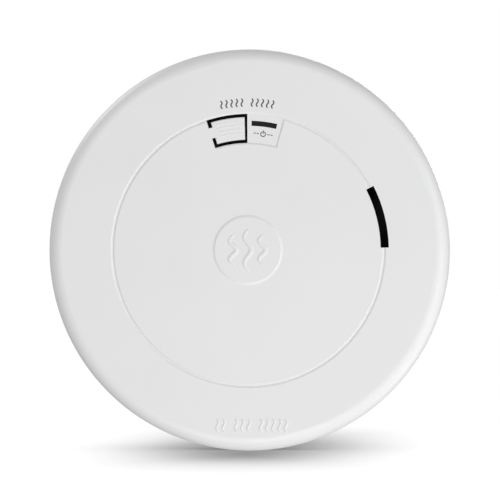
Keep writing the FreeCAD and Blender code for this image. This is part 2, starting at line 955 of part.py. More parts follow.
def storage_capacitor():
    """An aluminium can on a square moulded base."""
    return joined("storage_capacitor", [
        block("capacitor_base", 6.6, 6.6, 1, -16, 14, board_front()),
        rod("capacitor_can", 3.1, 7.2, -16, 14, board_front()),
    ])


def chip_resistors():
    rows = [(-10 + 3.2 * column, 7.4) for column in range(8)]
    return group("chip_resistors", [
        block(f"resistor_{number}", 2, 1.25, 0.5, x, up, board_front())
        for number, (x, up) in enumerate(rows)
    ])


def chip_capacitors():
    rows = [(-20 + 3.4 * column, 27 + 3 * row) for column in range(6) for row in range(2)]
    return group("chip_capacitors", [
        block(f"capacitor_{number}", 2, 1.25, 1.1, x, up, board_front())
        for number, (x, up) in enumerate(rows)
    ])


# Sub-parts: cell


def battery_cell():
    """A lithium cell on its side, upright in the row frame, with a raised positive end."""
    low = -sheet.cell_length / 2
    return joined("battery_cell", [
        rod("cell_can", sheet.cell_radius, sheet.cell_length - 1, sheet.cell_x, low, sheet.cell_depth,
            aim=UPRIGHT),
        rod("cell_cap", 3.2, sheet.cell_length, sheet.cell_x, low, sheet.cell_depth, aim=UPRIGHT),
    ])


def battery_tabs():
    """A welded strip on each end of the cell, with a foot soldered to the board."""
    strips = []
    thick = 0.2
    reach = 2.4
    foot_x = sheet.board_edge + reach / 2
    for side in (-1, 1):
        name = f"battery_tab_{side + 1}"
        end = sheet.cell_length / 2 * side + thick / 2 * side
        width = foot_x + reach / 2 - sheet.cell_x + 2.5
        middle = sheet.cell_x - 2.5 + width / 2
        strip = block(f"{name}_strip", width, thick, 5.5, middle, end, board_front())
        foot = block(f"{name}_foot", reach, 4, thick, foot_x, end + side * 2, board_front())
        strips.append(joined(name, [strip, foot]))
    return group("battery_tabs", strips)


def battery_foam():
    """A pad between the cell and the cover, hollowed to the cell."""
    depth = sheet.cell_depth + sheet.cell_radius - 2
    pad_solid = block("foam_pad", 12, 22, cover_inside() - depth, sheet.cell_x, 0, depth)
    hollow = rod(
        "foam_hollow", sheet.cell_radius, sheet.cell_length, sheet.cell_x, -sheet.cell_length / 2,
        sheet.cell_depth, aim=UPRIGHT,
    )
    return cut("battery_foam", pad_solid, [hollow])


# Sub-parts: smoke chamber


def chamber_spoke(name, start, end, wide, back, front, angle):
    """A box that runs outwards from the chamber's middle at an angle."""
    length = end - start
    return block(
        name, length, wide, front - back, start + length / 2, sized(0), back,
        turned=angle, about=(sheet.chamber_x, sheet.chamber_up),
    )


def inward(angle):
    """The aim of a part that looks along a spoke at the chamber's middle."""
    direction = Vector(-cosine(angle).number, 0, -sine(angle).number)
    return Rotation(Vector(0, 0, 1), direction)


def spoke_place(radius, angle):
    x = sheet.chamber_x + radius * cosine(angle)
    up = sheet.chamber_up + radius * sine(angle)
    return x, up


def chamber_base():
    """The floor, with a holder for each optical part and a slit for its legs."""
    floor = rod(
        "chamber_floor_disc",
        sheet.chamber_radius,
        sheet.chamber_floor_top - sheet.chamber_floor,
        sheet.chamber_x,
        sheet.chamber_up,
        sheet.chamber_floor,
    )
    solids = [floor]
    tools = []
    for angle in (EMITTER_ANGLE, RECEIVER_ANGLE):
        name = f"optic_{angle:.0f}"
        solids.append(chamber_spoke(
            f"{name}_holder", sheet.holder_start, sheet.holder_end, sheet.holder_width,
            sheet.chamber_floor_top - 0.3, sheet.holder_top, angle,
        ))
        tools.append(chamber_spoke(
            f"{name}_slit", sheet.holder_end + 0.1, sheet.holder_end + 1.5, 3.8,
            sheet.chamber_floor - 0.2, sheet.chamber_floor_top + 0.2, angle,
        ))
        x, up = spoke_place(sheet.holder_end + 0.1, angle)
        length = sheet.holder_end - sheet.holder_start + 0.2
        tools.append(rod(
            f"{name}_bore", sheet.optic_radius + 0.05, length, x, up, sheet.optic_depth,
            aim=inward(angle),
        ))
    return cut("chamber_base", joined("chamber_base_solids", solids), tools)


def chamber_labyrinth():
    """The lid, with slanted vanes that let smoke in and keep light out."""
    solids = [rod(
        "chamber_lid_disc",
        sheet.chamber_radius,
        sheet.chamber_lid_top - sheet.chamber_lid,
        sheet.chamber_x,
        sheet.chamber_up,
        sheet.chamber_lid,
    )]
    back = sheet.chamber_floor_top + 0.1
    slant = 40
    for number in range(VANES):
        angle = 360 / VANES * number
        solids.append(block(
            f"vane_{number}", sheet.vane_length, sheet.vane_thick, sheet.chamber_lid - back + 0.3,
            0, 0, back, turned=angle + slant, about=spoke_place(sheet.vane_circle, angle),
        ))
    return joined("chamber_labyrinth", solids)


def insect_screen():
    """A perforated ring between the chamber's floor and its lid."""
    back = sheet.chamber_floor_top + 0.05
    front = sheet.chamber_lid - 0.05
    outside = sheet.chamber_radius - 0.2
    ring = tube(
        "screen_ring", outside, outside - 0.3, front - back, sheet.chamber_x, sheet.chamber_up, back
    )
    return cut("insect_screen", ring, [windows(
        "screen_window", SCREEN_WINDOWS, outside, 0.3, 2.2, back + 1.2, front - 1.2,
        about=(sheet.chamber_x, sheet.chamber_up),
    )])


def optic(label, angle):
    """A round part that looks at the chamber's middle, with two legs down to the board."""
    back = sheet.holder_end - 0.6
    x, up = spoke_place(back, angle)
    tip_x, tip_up = spoke_place(back - sheet.optic_length, angle)
    solids = [
        rod(f"{label}_case", sheet.optic_radius, sheet.optic_length, x, up, sheet.optic_depth,
            aim=inward(angle)),
        ball(f"{label}_dome", sheet.optic_radius, tip_x, tip_up, sheet.optic_depth),
    ]
    for side in (-1, 1):
        solids.append(block(
            f"{label}_leg_top_{side + 1}", 2, 0.5, 0.5, back + 0.7, 0.64 * side,
            sheet.optic_depth - 0.25, turned=angle, about=(sheet.chamber_x, sheet.chamber_up),
        ))
        solids.append(block(
            f"{label}_leg_{side + 1}", 0.5, 0.5, sheet.optic_depth + 0.25 - board_front(),
            back + 1.45, 0.64 * side, board_front(), turned=angle,
            about=(sheet.chamber_x, sheet.chamber_up),
        ))
    return joined(label, solids)


def infrared_led():
    return optic("infrared_led", EMITTER_ANGLE)


def photodiode():
    return optic("photodiode", RECEIVER_ANGLE)


def photodiode_shield():
    """A thin metal can over the photodiode's holder, open at its two ends."""
    wall = 0.3
    back = sheet.chamber_floor_top
    outside = chamber_spoke(
        "shield_outside", sheet.holder_start + 1, sheet.holder_end - 1,
        sheet.holder_width + wall * 2 + 0.1, back, sheet.holder_top + wall + 0.05, RECEIVER_ANGLE,
    )
    inside = chamber_spoke(
        "shield_inside", sheet.holder_start, sheet.holder_end,
        sheet.holder_width + 0.1, back, sheet.holder_top + 0.05, RECEIVER_ANGLE,
    )
    return cut("photodiode_shield", outside, [inside])


# Sub-parts: sounder


def sounder_base():
    """A carrier whose step holds the brass disc by its rim."""
    body = new_body("sounder_base", sheet.sounder_x, sheet.sounder_up)
    half_section = Drawing(body, "XZ_Plane")
    half_section.polygon([
        (sheet.disc_radius - 1.1, sheet.sounder_foot),
        (sheet.sounder_radius, sheet.sounder_foot),
        (sheet.sounder_radius, sheet.cup_back),
        (sheet.disc_radius + 0.3, sheet.cup_back),
        (sheet.disc_radius + 0.3, sheet.disc_back),
        (sheet.disc_radius - 1.1, sheet.disc_back),
    ])
    turn(body, half_section)
    return body


def piezo_disc():
    return named("piezo_disc", rod(
        "brass_disc", sheet.disc_radius, sheet.disc_thick, sheet.sounder_x, sheet.sounder_up,
        sheet.disc_back,
    ))


def piezo_ceramic():
    return named("piezo_ceramic", rod(
        "ceramic_disc", sheet.ceramic_radius, sheet.ceramic_thick, sheet.sounder_x,
        sheet.sounder_up, sheet.disc_back - sheet.ceramic_thick,
    ))


def resonator_cup():
    """A black cup over the disc, with a port in its floor and its mouth at the cover's slot."""
    body = new_body("resonator_cup", sheet.sounder_x, sheet.sounder_up)
    floor_front = sheet.cup_back + 1
    inside = sheet.sounder_radius - sheet.sounder_wall
    nodal = sheet.ceramic_radius - 1
    disc_front = sheet.disc_back + sheet.disc_thick
    half_section = Drawing(body, "XZ_Plane")
    half_section.polygon([
        (sheet.port_radius, sheet.cup_back),
        (nodal - 0.4, sheet.cup_back),
        (nodal - 0.4, disc_front),
        (nodal + 0.4, disc_front),
        (nodal + 0.4, sheet.cup_back),
        (sheet.sounder_radius, sheet.cup_back),
        (sheet.sounder_radius, sheet.cup_front),
        (inside, sheet.cup_front),
        (inside, floor_front),
        (sheet.port_radius, floor_front),
    ])
    turn(body, half_section)
    return body


def sounder_gasket():
    return tube(
        "sounder_gasket",
        sheet.sounder_radius - 0.1,
        sheet.sounder_radius - sheet.sounder_wall + 0.1,
        cover_inside() - sheet.cup_front,
        sheet.sounder_x,
        sheet.sounder_up,
        sheet.cup_front,
    )


def sounder_contacts():
    """Two pins on the ceramic and one on the brass, each with a wide foot on the board."""
    ceramic_back = sheet.disc_back - sheet.ceramic_thick
    reach = {
        "drive": (-4, 0, ceramic_back),
        "feedback": (4, 0, ceramic_back),
        "common": (0, 1.8 - sheet.disc_radius, sheet.disc_back),
    }
    pins = []
    for name, (right, above, tip) in reach.items():
        x = sheet.sounder_x + right
        up = sheet.sounder_up + above
        pins.append(joined(f"contact_{name}", [
            rod(f"contact_{name}_pin", 0.35, tip - board_front(), x, up, board_front()),
            rod(f"contact_{name}_foot", 0.6, 0.4, x, up, board_front()),
        ]))
    return group("sounder_contacts", pins)


# Sub-parts: the slide switch that turns the alarm on


def activation_switch_body():
    back = sheet.slider_switch_back
    case = block("slide_case", 9, 4.6, sheet.board_back - back, 0, sheet.slider_up, back)
    room = block(
        "slide_room",
        sheet.slider_side + sheet.slider_travel + 0.4,
        sheet.slider_side + 0.3,
        1.7,
        0,
        sheet.slider_up,
        back,
    )
    return cut("activation_switch_body", case, [room])


def activation_slider():
    """The stem, at the end of its travel where the alarm is on, with two grip notches."""
    length = sheet.slider_switch_back + 1.5 - sheet.slider_end
    x = -sheet.slider_travel / 2
    stem = block(
        "slider_stem", sheet.slider_side, sheet.slider_side, length, x, sheet.slider_up,
        sheet.slider_end,
    )
    notches = [
        block(f"slider_notch_{side}", 0.4, 3, 0.3, x + shift, sheet.slider_up, sheet.slider_end)
        for side, shift in (("left", -0.5), ("right", 0.5))
    ]
    return cut("activation_slider", stem, notches)


SUB_PARTS = (
    mounting_bracket,
    rear_housing,
    front_cover,
    housing_screws,
    rating_label,
    test_button,
    dust_shield,
    light_pipe,
    status_led,
    tact_switch_body,
    tact_switch_plunger,
    circuit_board,
    board_screws,
    microcontroller,
    horn_driver,
    boost_inductor,
    storage_capacitor,
    chip_resistors,
    chip_capacitors,
    battery_cell,
    battery_tabs,
    battery_foam,
    chamber_base,
    chamber_labyrinth,
    insect_screen,
    infrared_led,
    photodiode,
    photodiode_shield,
    sounder_base,
    piezo_disc,
    piezo_ceramic,
    resonator_cup,
    sounder_gasket,
    sounder_contacts,
    activation_switch_body,
    activation_slider,
)


def check(document, sub_parts):
    """Stops before anything is written if an object failed or a sub-part isn't sound."""
    for thing in document.Objects:
        if "Invalid" in thing.State or "Error" in thing.State:
            raise RuntimeError(f"{thing.Label} is {thing.State}")
    for sub_part in sub_parts:
        if sub_part.Shape.isNull() or not sub_part.Shape.isValid():
            raise RuntimeError(f"{sub_part.Label} has no sound shape")


doc = FreeCAD.newDocument("smoke_alarm")
sheet = Sheet(doc)
made = [build() for build in SUB_PARTS]
doc.recompute()
check(doc, made)
os.makedirs("parts", exist_ok=True)
for sub_part in made:
    sub_part.Shape.exportStep(f"parts/{sub_part.Label}.step")
    print(f"{sub_part.Label}: {len(sub_part.Shape.Solids)} solids, {sub_part.Shape.Volume:.1f} mm3")
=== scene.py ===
import json
import math

import bmesh
import bpy
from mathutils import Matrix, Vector


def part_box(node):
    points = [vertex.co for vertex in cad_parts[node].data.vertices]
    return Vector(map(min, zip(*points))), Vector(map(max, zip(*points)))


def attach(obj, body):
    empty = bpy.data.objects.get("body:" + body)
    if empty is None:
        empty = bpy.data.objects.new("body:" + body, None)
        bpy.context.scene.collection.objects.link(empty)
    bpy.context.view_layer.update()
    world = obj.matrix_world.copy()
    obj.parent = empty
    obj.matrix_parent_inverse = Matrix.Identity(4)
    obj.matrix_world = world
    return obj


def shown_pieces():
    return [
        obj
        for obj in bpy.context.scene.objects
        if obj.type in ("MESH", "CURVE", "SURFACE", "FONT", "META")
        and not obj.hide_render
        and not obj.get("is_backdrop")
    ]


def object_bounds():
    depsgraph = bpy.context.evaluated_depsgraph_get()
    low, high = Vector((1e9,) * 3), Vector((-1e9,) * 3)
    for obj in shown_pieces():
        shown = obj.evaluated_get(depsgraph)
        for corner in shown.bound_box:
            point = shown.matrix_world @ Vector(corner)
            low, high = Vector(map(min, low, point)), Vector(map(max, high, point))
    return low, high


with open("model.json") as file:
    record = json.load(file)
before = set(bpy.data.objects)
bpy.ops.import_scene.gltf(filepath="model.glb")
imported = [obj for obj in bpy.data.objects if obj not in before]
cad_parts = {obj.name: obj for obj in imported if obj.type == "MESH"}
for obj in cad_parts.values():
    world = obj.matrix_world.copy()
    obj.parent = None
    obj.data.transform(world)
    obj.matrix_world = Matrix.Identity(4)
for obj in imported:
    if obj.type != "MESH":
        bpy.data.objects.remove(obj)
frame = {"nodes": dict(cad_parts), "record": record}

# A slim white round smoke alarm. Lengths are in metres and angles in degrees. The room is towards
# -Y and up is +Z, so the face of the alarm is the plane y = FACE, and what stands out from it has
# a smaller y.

cad_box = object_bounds()
scene = bpy.context.scene
MM = 0.001

# Planes and places that the marks on the cover are worked out from. The raised emblem is the
# cover's foremost part, the face lies behind it, and the recessed panel behind the face.
cover_low, cover_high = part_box("front_cover")
CENTRE = Vector(((cover_low.x + cover_high.x) / 2, 0, (cover_low.z + cover_high.z) / 2))
EMBLEM_RISE = 0.35 * MM
PANEL_DEPTH = 0.4 * MM
EMBLEM_FACE = cover_low.y
FACE = EMBLEM_FACE + EMBLEM_RISE
PANEL_FACE = FACE + PANEL_DEPTH


# ---------------------------------------------------------------- materials


def shade(name, colour, roughness, metallic=0.0, **sockets):
    """A Principled material, with the numbers that are the same all over set on its own sockets."""
    material = bpy.data.materials.new(name)
    material.use_nodes = True
    shader = material.node_tree.nodes["Principled BSDF"]
    shader.inputs["Base Color"].default_value = (*colour, 1)
    shader.inputs["Roughness"].default_value = roughness
    shader.inputs["Metallic"].default_value = metallic
    for socket, value in sockets.items():
        shader.inputs[socket.replace("_", " ")].default_value = value
    return material


def node(material, kind, **inputs):
    """A new node of that kind, with some of its inputs set."""
    made = material.node_tree.nodes.new(kind)
    for socket, value in inputs.items():
        made.inputs[socket.replace("_", " ")].default_value = value
    return made


def link(material, source, output, target, socket):
    material.node_tree.links.new(source.outputs[output], target.inputs[socket])


def principled(material):
    return material.node_tree.nodes["Principled BSDF"]


def object_noise(material, size, detail=2.0, stretch=(1, 1, 1)):
    """Noise in object space whose features are about that large, in metres."""
    place = node(material, "ShaderNodeTexCoord")
    mapping = node(material, "ShaderNodeMapping", Scale=stretch)
    noise = node(material, "ShaderNodeTexNoise", Scale=1 / size, Detail=detail)
    link(material, place, "Object", mapping, "Vector")
    link(material, mapping, "Vector", noise, "Vector")
    return noise


def mottle(material, other, size):
    """The base colour drifts towards another one over patches of that size."""
    noise = object_noise(material, size)
    spread = node(material, "ShaderNodeMapRange", From_Min=0.35, From_Max=0.65)
    mix = material.node_tree.nodes.new("ShaderNodeMix")
    mix.data_type = "RGBA"
    mix.inputs["A"].default_value = principled(material).inputs["Base Color"].default_value
    mix.inputs["B"].default_value = (*other, 1)
    link(material, noise, "Fac", spread, "Value")
    link(material, spread, "Result", mix, "Factor")
    link(material, mix, "Result", principled(material), "Base Color")


def uneven_gloss(material, least, most, size, stretch=(1, 1, 1)):
    """The roughness drifts between two values over patches of that size."""
    noise = object_noise(material, size, stretch=stretch)
    spread = node(material, "ShaderNodeMapRange", From_Min=0.3, From_Max=0.7,
                  To_Min=least, To_Max=most)
    link(material, noise, "Fac", spread, "Value")
    link(material, spread, "Result", principled(material), "Roughness")


def grain(material, size, depth, stretch=(1, 1, 1)):
    """Fine bumps of that size and depth, as a textured mould leaves them."""
    noise = object_noise(material, size, detail=3.0, stretch=stretch)
    bump = node(material, "ShaderNodeBump", Strength=1.0, Distance=depth)
    link(material, noise, "Fac", bump, "Height")
    link(material, bump, "Normal", principled(material), "Normal")


def moulded(name, colour, other, roughness, grain_size, grain_depth, **sockets):
    """Plastic from a textured mould."""
    material = shade(name, colour, roughness, **sockets)
    mottle(material, other, 40 * MM)
    uneven_gloss(material, roughness - 0.04, roughness + 0.04, 12 * MM)
    grain(material, grain_size, grain_depth)
    return material


def metal(name, colour, other, roughness, brush=(1, 1, 1)):
    """Bare or plated metal with fine marks along one direction."""
    material = shade(name, colour, roughness, metallic=1.0)
    mottle(material, other, 3 * MM)
    uneven_gloss(material, roughness * 0.7, roughness * 1.3, 0.6 * MM, stretch=brush)
    grain(material, 0.2 * MM, 0.004 * MM, stretch=brush)
    return material


def glassy(name, colour, roughness, transmission, **sockets):
    """Clear or smoked acrylic."""
    material = shade(name, colour, roughness, Transmission_Weight=transmission, IOR=1.49, **sockets)
    uneven_gloss(material, roughness, roughness + 0.05, 2 * MM)
    return material


def circuit_green():
    """Solder mask over copper traces that run along the board's edges."""
    pitch = 1.3 * MM
    material = shade("board_green", (0.012, 0.105, 0.035), 0.3,
                     Coat_Weight=0.4, Coat_Roughness=0.1)
    place = node(material, "ShaderNodeTexCoord")
    turn = node(material, "ShaderNodeMapping", Rotation=(math.pi / 2, 0, 0))
    traces = node(material, "ShaderNodeTexBrick", Scale=1 / pitch, Mortar_Size=0.13,
                  Brick_Width=5.0, Row_Height=1.0, Color1=(0.010, 0.095, 0.030, 1),
                  Color2=(0.014, 0.110, 0.036, 1), Mortar=(0.030, 0.190, 0.075, 1))
    link(material, place, "Object", turn, "Vector")
    link(material, turn, "Vector", traces, "Vector")
    link(material, traces, "Color", principled(material), "Base Color")
    return material


def foam():
    """Black open foam with cells that are seen from close by."""
    cell, depth = 0.5 * MM, 0.12 * MM
    material = shade("foam", (0.009, 0.009, 0.0095), 0.95, Specular_IOR_Level=0.1)
    cells = node(material, "ShaderNodeTexVoronoi", Scale=1 / cell)
    place = node(material, "ShaderNodeTexCoord")
    bump = node(material, "ShaderNodeBump", Strength=0.9, Distance=depth)
    link(material, place, "Object", cells, "Vector")
    link(material, cells, "Distance", bump, "Height")
    link(material, bump, "Normal", principled(material), "Normal")
    mottle(material, (0.015, 0.015, 0.016), 1 * MM)
    return material


# Every finish by its slot. A moulded one has two colours, a roughness, and its grain's size and
# depth.
FINISHES = {
    "casing_white": moulded("casing_white", (0.80, 0.80, 0.80), (0.785, 0.787, 0.79), 0.42,
                            0.35 * MM, 0.012 * MM, IOR=1.53),
    "bracket_white": moulded("bracket_white", (0.76, 0.76, 0.75), (0.74, 0.74, 0.735), 0.38,
                             0.5 * MM, 0.01 * MM, IOR=1.53),
    # Black plastic has its specular level cut to 0.12, well below that of real plastic, so that the
    # shield seen through the slots stays as dark as the deep shade over it would make it: painted
    # shade.
    "black_plastic": moulded("black_plastic", (0.006, 0.006, 0.0065), (0.009, 0.009, 0.0095), 0.6,
                             0.3 * MM, 0.02 * MM, Specular_IOR_Level=0.12),
    "smoked_window": glassy("smoked_window", (0.012, 0.012, 0.014), 0.1, 0.35,
                            Specular_IOR_Level=0.3),
    "lamp_clear": glassy("lamp_clear", (0.85, 0.9, 0.85), 0.05, 0.85),
    "infrared_resin": glassy("infrared_resin", (0.03, 0.01, 0.05), 0.07, 0.3),
    "board_green": circuit_green(),
    "screw_steel": metal("screw_steel", (0.62, 0.62, 0.60), (0.52, 0.53, 0.53), 0.3),
    "screen_steel": metal("screen_steel", (0.55, 0.56, 0.56), (0.45, 0.46, 0.47), 0.35),
    "tinned_steel": metal("tinned_steel", (0.70, 0.70, 0.69), (0.60, 0.61, 0.62), 0.25),
    "nickel": metal("nickel", (0.66, 0.63, 0.58), (0.58, 0.56, 0.52), 0.25, brush=(8, 1, 1)),
    "can_aluminium": metal("can_aluminium", (0.75, 0.75, 0.76), (0.66, 0.67, 0.68), 0.28),
    "brass": metal("brass", (0.78, 0.57, 0.23), (0.68, 0.49, 0.20), 0.27),
    "silvered_ceramic": metal("silvered_ceramic", (0.82, 0.81, 0.78), (0.74, 0.73, 0.71), 0.42),
    "chip_black": moulded("chip_black", (0.015, 0.015, 0.016), (0.022, 0.022, 0.023), 0.6,
                          0.12 * MM, 0.008 * MM),
    "ferrite": moulded("ferrite", (0.035, 0.033, 0.033), (0.05, 0.048, 0.047), 0.7,
                       0.25 * MM, 0.03 * MM),
    "chip_ceramic": moulded("chip_ceramic", (0.42, 0.30, 0.18), (0.36, 0.25, 0.15), 0.5,
                            0.1 * MM, 0.006 * MM),
    "cell_sleeve": moulded("cell_sleeve", (0.03, 0.10, 0.30), (0.035, 0.11, 0.33), 0.3,
                           1.2 * MM, 0.01 * MM, Coat_Weight=0.3),
    "foam": foam(),
    "label_paper": moulded("label_paper", (0.72, 0.72, 0.72), (0.70, 0.70, 0.70), 0.55,
                           0.15 * MM, 0.004 * MM),
}


def finish_parts():
    """Each part of the frame gets the finish that its slot names."""
    for part in frame["record"]["subparts"]:
        mesh = frame["nodes"][part["node"]].data
        mesh.materials.clear()
        mesh.materials.append(FINISHES[part["material_slot"]])


# ---------------------------------------------------------------- raised and printed marks

# Marks are beads that follow paths. CROWN has the places across a bead's width, from -1 to 1, where
# its rounded top has points. CAPS has the angles of the stations that round off its ends. SINK is
# how deep its foot goes under the surface. The sizes of marks are in mm.
CROWN = (-1.0, -0.85, -0.5, 0.0, 0.5, 0.85, 1.0)
CAPS = [math.radians(degrees) for degrees in (80, 60, 40, 20)]
SINK = 0.06 * MM
INK_HEIGHT = 0.02
POINTS_PER_WAVE = 16


def on_face(x, z):
    """A point of the face as (x, z), from mm to the right of its centre and mm above it."""
    return Vector((CENTRE.x + x * MM, CENTRE.z + z * MM))


def on_circle(radius, degrees):
    """A point of the face, from its distance to the centre in mm and its bearing. 90 is the top."""
    turn = math.radians(degrees)
    return on_face(radius * math.cos(turn), radius * math.sin(turn))


def wisp(height, sway, waves=1.0):
    """A curl of smoke with its middle at the origin: points in mm, from its foot to its tip."""
    steps = round(POINTS_PER_WAVE * waves)
    rise = [i / steps for i in range(steps + 1)]
    return [(-sway * math.sin(math.tau * waves * t), height * (t - 0.5)) for t in rise]


def stood_at(path, middle, lean=0.0):
    """A path in mm moved to a point of the face and turned by that many degrees."""
    turn = math.radians(lean)
    c, s = math.cos(turn), math.sin(turn)
    return [middle + Vector((x * c - z * s, x * s + z * c)) * MM for x, z in path]


def dash(start, stop):
    """A straight path between two points."""
    return [start, (start + stop) / 2, stop]


def stations(path, width, thin_ends):
    """Places along a stroke with round ends: a point, the direction and the half width there."""
    last = len(path) - 1
    found = []
    for i, point in enumerate(path):
        along = (path[min(i + 1, last)] - path[max(i - 1, 0)]).normalized()
        share = 1 - thin_ends * (1 - math.sin(math.pi * i / last))
        found.append((point, along, width / 2 * share))
    (foot, start, half), (tip, end, _) = found[0], found[-1]
    before = [(foot - start * half * math.sin(a), start, half * math.cos(a)) for a in CAPS]
    after = [(tip + end * half * math.sin(a), end, half * math.cos(a)) for a in CAPS[::-1]]
    return before + found + after


def add_stroke(mesh, path, width, height, level, thin_ends):
    """Adds a bead with a rounded crown that follows the path and stands on the plane y = level."""
    rows = []
    for point, along, half in stations(path, width, thin_ends):
        side = Vector((-along.y, along.x))
        row = []
        for t in CROWN:
            place = point + side * half * t
            tall = height * math.sqrt(1 - t * t) * min(1.0, 2 * half / width)
            row.append(mesh.verts.new((place.x, level - tall, place.y)))
        for t in (1.0, -1.0):
            place = point + side * half * t
            row.append(mesh.verts.new((place.x, level + SINK, place.y)))
        rows.append(row)
    for a, b in zip(rows, rows[1:]):
        for i in range(len(a)):
            j = (i + 1) % len(a)
            mesh.faces.new((a[i], a[j], b[j], b[i]))
    mesh.faces.new(rows[0])
    mesh.faces.new(rows[-1][::-1])


def strokes(name, paths, width, height, level, body, slot, finish=None, thin_ends=0.0):
    """One piece made of beads that are alike, which lose the share thin_ends of their width at the
    ends."""
    mesh = bmesh.new()
    for path in paths:
        add_stroke(mesh, path, width * MM, height * MM, level, thin_ends)
    bmesh.ops.recalc_face_normals(mesh, faces=mesh.faces)
    for face in mesh.faces:
        face.smooth = True
    data = bpy.data.meshes.new(name)
    mesh.to_mesh(data)
    mesh.free()
    made = bpy.data.objects.new(name, data)
    scene.collection.objects.link(made)
    made.data.materials.append(finish or FINISHES[slot])
    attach(made, body)
    return made


def printed_ink():
    """Grey ink, a little thinner in places."""
    ink = shade("printed_ink", (0.075, 0.075, 0.08), 0.6)
    mottle(ink, (0.12, 0.12, 0.125), 0.4 * MM)
    return ink


def emblem_wisps():
    """Three raised curls of smoke on the round emblem, the middle one taller."""
    spacing, outer, middle = 5.2, 10.0, 14.0
    sway, waves, width, rise = 1.25, 1.5, 1.7, 0.32
    curls = ((-spacing, outer), (0.0, middle), (spacing, outer))
    paths = [stood_at(wisp(tall, sway, waves), on_face(x, 0)) for x, tall in curls]
    strokes("emblem_wisps", paths, width, rise, EMBLEM_FACE, "alarm", "casing_white",
            thin_ends=0.5)


def row_of_wisps(groups, pitch):
    """Offsets of wisps in groups, with one wisp left out between two groups."""
    places = []
    at = 0
    for count in groups:
        places += range(at, at + count)
        at += count + 1
    middle = (places[0] + places[-1]) / 2
    return [(i - middle) * pitch for i in places]


def arc_caption(ink):
    """Two printed groups of small curls along an arc over the panel."""
    bearing, radius, pitch = 90.3, 52.0, 1.82
    tall, sway, width = 2.5, 0.3, 0.5
    paths = []
    for offset in row_of_wisps((5, 5), pitch):
        degrees = bearing - math.degrees(offset / radius)
        paths.append(stood_at(wisp(tall, sway), on_circle(radius, degrees), degrees - 90))
    strokes("arc_caption", paths, width, INK_HEIGHT, FACE, "alarm", "casing_white", ink)


def window_symbol(ink):
    """A printed on-and-off symbol with two dashes on each side, under the window."""
    bearing, radius = 82.5, 41.2
    size, opening, step = 0.85, 30, 15
    stem_foot, stem_tip = 0.25, 1.15
    dash_places, dash_half, width = (-3.0, -1.9, 1.9, 3.0), 0.25, 0.34
    bearings = range(opening - 180, 181 - opening, step)
    arc = [(size * math.sin(math.radians(d)), -size * math.cos(math.radians(d))) for d in bearings]
    marks = [arc, dash(Vector((0, stem_foot)), Vector((0, stem_tip)))]
    for x in dash_places:
        marks.append(dash(Vector((x - dash_half, 0)), Vector((x + dash_half, 0))))
    centre = on_circle(radius, bearing)
    paths = [stood_at(mark, centre, bearing - 90) for mark in marks]
    strokes("window_symbol", paths, width, INK_HEIGHT, PANEL_FACE, "alarm", "casing_white", ink)


def tab_ribs():
    """Faint raised dashes in four rows on the button, two to a row."""
    width, rise, steps = 0.5, 0.1, 8
    rows = ((45.4, (94.0, 98.0), (99.2, 104.2)), (44.0, (94.0, 96.5), (97.7, 104.2)),
            (42.6, (94.0, 99.6), (100.8, 104.2)), (41.2, (94.4, 97.8), (99.0, 103.8)))
    paths = []
    for radius, *dashes in rows:
        for start, stop in dashes:
            bearings = [start + (stop - start) * i / steps for i in range(steps + 1)]
            paths.append([on_circle(radius, degrees) for degrees in bearings])
    strokes("tab_ribs", paths, width, rise, PANEL_FACE, "button", "casing_white")


def rim_line():
    """A raised row of curls near the bottom of the rim."""
    right, up, pitch = 1.4, -61.9, 2.2
    tall, sway, width, rise = 3.9, 0.42, 0.75, 0.22
    paths = [stood_at(wisp(tall, sway), on_face(right, up) + Vector((x * MM, 0)))
             for x in row_of_wisps((2, 3, 5), pitch)]
    strokes("rim_line", paths, width, rise, FACE, "alarm", "casing_white")


def label_rules(ink):
    """Printed rules on the blank label, a frame with three lines."""
    low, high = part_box("rating_label")
    inset, width = 1.0 * MM, 0.25
    left, right = low.x + inset, high.x - inset
    bottom, top = low.z + inset, high.z - inset
    corners = [Vector(p) for p in ((left, bottom), (right, bottom), (right, top), (left, top))]
    paths = [dash(a, b) for a, b in zip(corners, corners[1:] + corners[:1])]
    for share in (0.3, 0.5, 0.7):
        z = bottom + (top - bottom) * share
        paths.append(dash(Vector((left + 2 * inset, z)), Vector((right - 2 * inset, z))))
    rules = strokes("label_rules", paths, width, INK_HEIGHT, 0.0, "alarm", "label_paper", ink)
    # The label faces the wall, so its rules are turned over and moved onto it.
    for vertex in rules.data.vertices:
        vertex.co.y = high.y - vertex.co.y
    rules.data.flip_normals()


# ---------------------------------------------------------------- floor, light and camera

# The camera looks at a point a little to the right of the object's middle and near its face, from
# VIEW_DISTANCE away and CAMERA_AZIMUTH degrees to the right. LENS and SENSOR are in mm.
AIM_RIGHT = 0.23 * MM
AIM_FORWARD = 9.4 * MM
AIM = (cad_box[0] + cad_box[1]) / 2 + Vector((AIM_RIGHT, -AIM_FORWARD, 0))
VIEW_DISTANCE = 1.2
CAMERA_AZIMUTH = 4.2
LENS = 243.6
SENSOR = 36.0

FLOOR_SIZE = 12
FLOOR_GREY = 0.5
FLOOR_ROUGHNESS = 0.9
# How bright the white room is as a light. The camera sees it at full strength.
AMBIENT = 0.385
# Each softbox: where it stands, how wide it is and its power. They light the object alone.
SOFTBOXES = {
    "right": ((0.9, -0.75, 0.1), 0.5, 2.55),
    "low_right": ((0.7, -0.8, -0.45), 0.5, 1.35),
    "low": ((0.0, -0.95, -0.6), 0.5, 3.9),
    "low_side": ((0.9, -0.15, -0.7), 0.5, 2.85),
    "front": ((0.0, -1.15, 0.45), 0.5, 1.85),
    "back": ((0.3, 1.2, 0.4), 0.6, 7.0),
    "back_left": ((-0.75, 0.4, 0.75), 0.5, 4.0),
}
